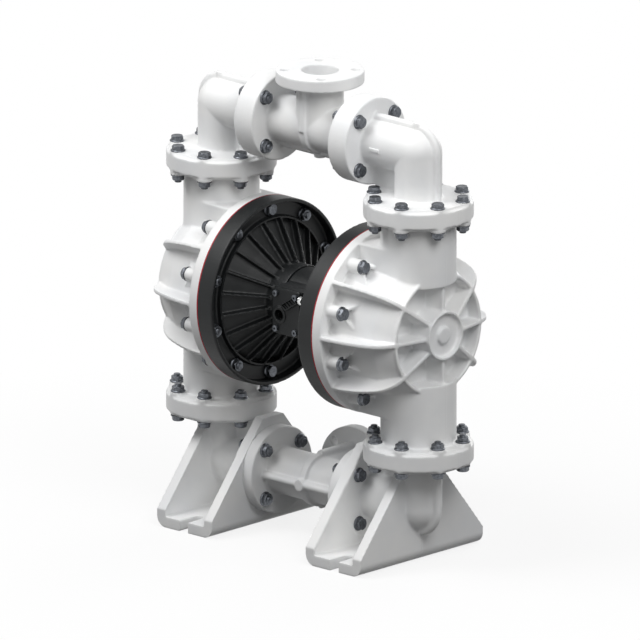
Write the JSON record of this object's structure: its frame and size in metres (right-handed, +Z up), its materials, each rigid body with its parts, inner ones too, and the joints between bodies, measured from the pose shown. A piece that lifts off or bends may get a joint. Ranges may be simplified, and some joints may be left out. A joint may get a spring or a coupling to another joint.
{
  "type": "air operated diaphragm pump",
  "caption": "Air operated double diaphragm pump with ribbed plastic chambers, ball valves, flanged manifolds and feet.",
  "frame": {"origin": "on the floor, under the middle of the pump", "axes": "+X along the diaphragm shaft, +Y to the back where the inlet flange faces, +Z up"},
  "size_m": [0.817, 0.408, 1.033],
  "materials": {
    "white_plastic": "moulded white polypropylene, satin",
    "black_plastic": "moulded black polypropylene, satin",
    "red_rubber": "moulded red elastomer",
    "black_rubber": "moulded black elastomer",
    "dark_steel": "blue-grey coated steel fasteners",
    "bright_steel": "ground stainless steel",
    "plug_metal": "bright plated metal",
    "sealing_plastic": "turned fluoropolymer",
    "bearing_plastic": "turned acetal"
  },
  "bodies": {
    "housing": {"air_cap_left": "black_plastic", "air_cap_right": "black_plastic", "bushing_left": "bearing_plastic", "bushing_right": "bearing_plastic", "cage_inlet_left": "white_plastic", "cage_inlet_right": "white_plastic", "cage_outlet_left": "white_plastic", "cage_outlet_right": "white_plastic", "center_body": "black_plastic", "clamp_bolts": "dark_steel", "clamp_cap_screws": "dark_steel", "clamp_nuts": "dark_steel", "diaphragm_left": "red_rubber", "diaphragm_right": "red_rubber", "fluid_cap_left": "white_plastic", "fluid_cap_right": "white_plastic", "foot_elbow_left": "white_plastic", "foot_elbow_right": "white_plastic", "inlet_tee": "white_plastic", "lower_joint_bolts": "dark_steel", "lower_joint_nuts": "dark_steel", "manifold_bolts": "dark_steel", "manifold_nuts": "dark_steel", "muffler": "black_plastic", "outlet_elbow_left": "white_plastic", "outlet_elbow_right": "white_plastic", "outlet_tee": "white_plastic", "seat_inlet_left": "sealing_plastic", "seat_inlet_right": "sealing_plastic", "seat_outlet_left": "sealing_plastic", "seat_outlet_right": "sealing_plastic", "shaft_seal_left": "black_rubber", "shaft_seal_right": "black_rubber", "spool_plug_left": "plug_metal", "spool_plug_right": "plug_metal", "upper_joint_bolts": "dark_steel", "upper_joint_nuts": "dark_steel", "valve_block": "black_plastic", "valve_cover": "black_plastic", "valve_gasket": "black_rubber", "valve_screws": "dark_steel"},
    "shaft": {"diaphragm_rod": "bright_steel", "inner_plate_left": "bright_steel", "inner_plate_right": "bright_steel", "outer_plate_left": "white_plastic", "outer_plate_right": "white_plastic", "shaft_nut_left": "bright_steel", "shaft_nut_right": "bright_steel"},
    "spool": {"valve_spool": "bright_steel"},
    "pilot": {"pilot_rod": "bright_steel"},
    "ball_inlet_left_body": {"ball_inlet_left": "sealing_plastic"},
    "ball_inlet_right_body": {"ball_inlet_right": "sealing_plastic"},
    "ball_outlet_left_body": {"ball_outlet_left": "sealing_plastic"},
    "ball_outlet_right_body": {"ball_outlet_right": "sealing_plastic"}
  },
  "joints": [
    {"name": "shaft_slide", "type": "slide", "parent": "housing", "child": "shaft", "axis": [1, 0, 0], "range_m": [-0.021, 0.021], "deforming": ["diaphragm_left", "diaphragm_right"]},
    {"name": "pilot_slide", "type": "slide", "parent": "housing", "child": "pilot", "axis": [1, 0, 0], "range_m": [-0.0038, 0.0038]},
    {"name": "spool_slide", "type": "slide", "parent": "housing", "child": "spool", "axis": [1, 0, 0], "range_m": [-0.006, 0.006]},
    {"name": "inlet_left_ball_lift", "type": "slide", "parent": "housing", "child": "ball_inlet_left_body", "axis": [0, 0, 1], "range_m": [0, 0.018]},
    {"name": "inlet_right_ball_lift", "type": "slide", "parent": "housing", "child": "ball_inlet_right_body", "axis": [0, 0, 1], "range_m": [0, 0.018]},
    {"name": "outlet_left_ball_lift", "type": "slide", "parent": "housing", "child": "ball_outlet_left_body", "axis": [0, 0, 1], "range_m": [0, 0.018]},
    {"name": "outlet_right_ball_lift", "type": "slide", "parent": "housing", "child": "ball_outlet_right_body", "axis": [0, 0, 1], "range_m": [0, 0.018]}
  ],
  "couplings": [
    {"joint": "pilot_slide", "follows": "shaft_slide", "ratio": 0.18}
  ]
}
